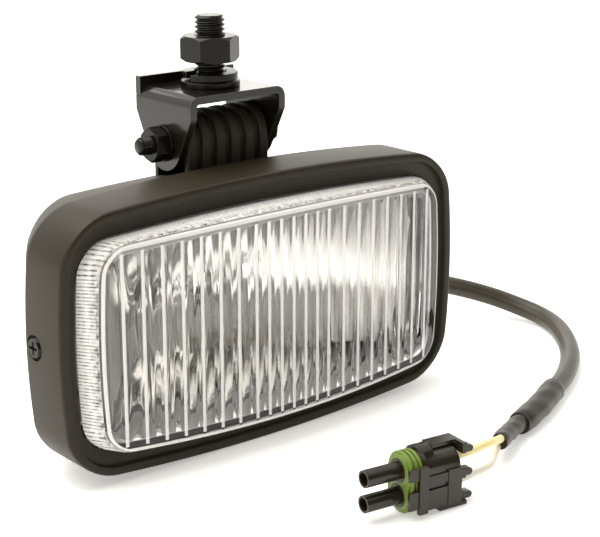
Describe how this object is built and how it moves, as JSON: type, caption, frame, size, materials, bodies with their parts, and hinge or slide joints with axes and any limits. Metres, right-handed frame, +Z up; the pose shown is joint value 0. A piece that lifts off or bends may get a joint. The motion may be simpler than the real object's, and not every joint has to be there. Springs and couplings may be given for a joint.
{
  "type": "fog light",
  "caption": "Rectangular fog light with a fluted glass lens in a deep bezel, hung from a tilting stud bracket, with a cable to a sealed plug.",
  "frame": {"origin": "on the surface the lamp stands on, under the middle of the lamp's box; the pivot and the stud are straight above it", "axes": "+X to the right seen from in front, +Y towards the back of the lamp, +Z up along the mounting stud; the lens faces -Y"},
  "size_m": [0.2367, 0.1968, 0.1349],
  "materials": {
    "bezel_plastic": "fine grained, matte, warm charcoal",
    "housing_plastic": "fine grained, matte, warm charcoal",
    "lens_glass": "clear pressed glass",
    "mirror_coat": "vacuum-coated, bright",
    "gasket_rubber": "matte",
    "bulb_glass": "clear",
    "bright_metal": "bright plated",
    "black_steel": "semi-gloss black coat",
    "dark_steel": "black oxide, oiled",
    "cable_jacket": "satin",
    "shrink_sleeve": "satin",
    "yellow_wire": "satin",
    "white_wire": "satin",
    "green_seal": "satin silicone",
    "plug_plastic": "satin black nylon"
  },
  "bodies": {
    "lamp": {"bezel": "bezel_plastic", "bezel_screws": "dark_steel", "lens": "lens_glass", "lens_gasket": "gasket_rubber", "reflector": "mirror_coat", "rear_housing": "housing_plastic", "bulb_glass": "bulb_glass", "bulb_filament": "bright_metal", "bulb_base": "bright_metal", "bulb_clip": "bright_metal", "clip_screws": "bright_metal", "bulb_lead": "yellow_wire", "earth_lead": "white_wire", "lead_terminals": "bright_metal", "pivot_sleeve": "bright_metal", "cable_grommet": "gasket_rubber", "cable": "cable_jacket", "outer_sleeve": "shrink_sleeve", "inner_sleeve": "shrink_sleeve", "yellow_wire": "yellow_wire", "white_wire": "white_wire", "wire_seals": "green_seal", "plug_body": "plug_plastic", "plug_terminals": "bright_metal", "plug_seal": "green_seal"},
    "bracket": {"bracket": "black_steel", "mounting_stud": "dark_steel", "flat_washer": "dark_steel", "spring_washer": "dark_steel", "pivot_bolt": "dark_steel", "pivot_washers": "dark_steel", "pivot_nut": "dark_steel"},
    "mounting_nut": {"mounting_nut": "dark_steel"},
    "plug_lock": {"plug_lock": "plug_plastic"}
  },
  "joints": [
    {"name": "bracket_tilt", "type": "hinge", "parent": "lamp", "child": "bracket", "pos_m": [0, 0, 0.09535], "axis": [1, 0, 0], "range_deg": [-40, 40]},
    {"name": "nut_travel", "type": "slide", "parent": "bracket", "child": "mounting_nut", "axis": [0, 0, 1], "range_m": [-0.0027, 0.0056]},
    {"name": "plug_lock_swing", "type": "hinge", "parent": "lamp", "child": "plug_lock", "pos_m": [0.00104, -0.09777, 0.00995], "axis": [0, 0, 1], "range_deg": [0, 95]}
  ]
}
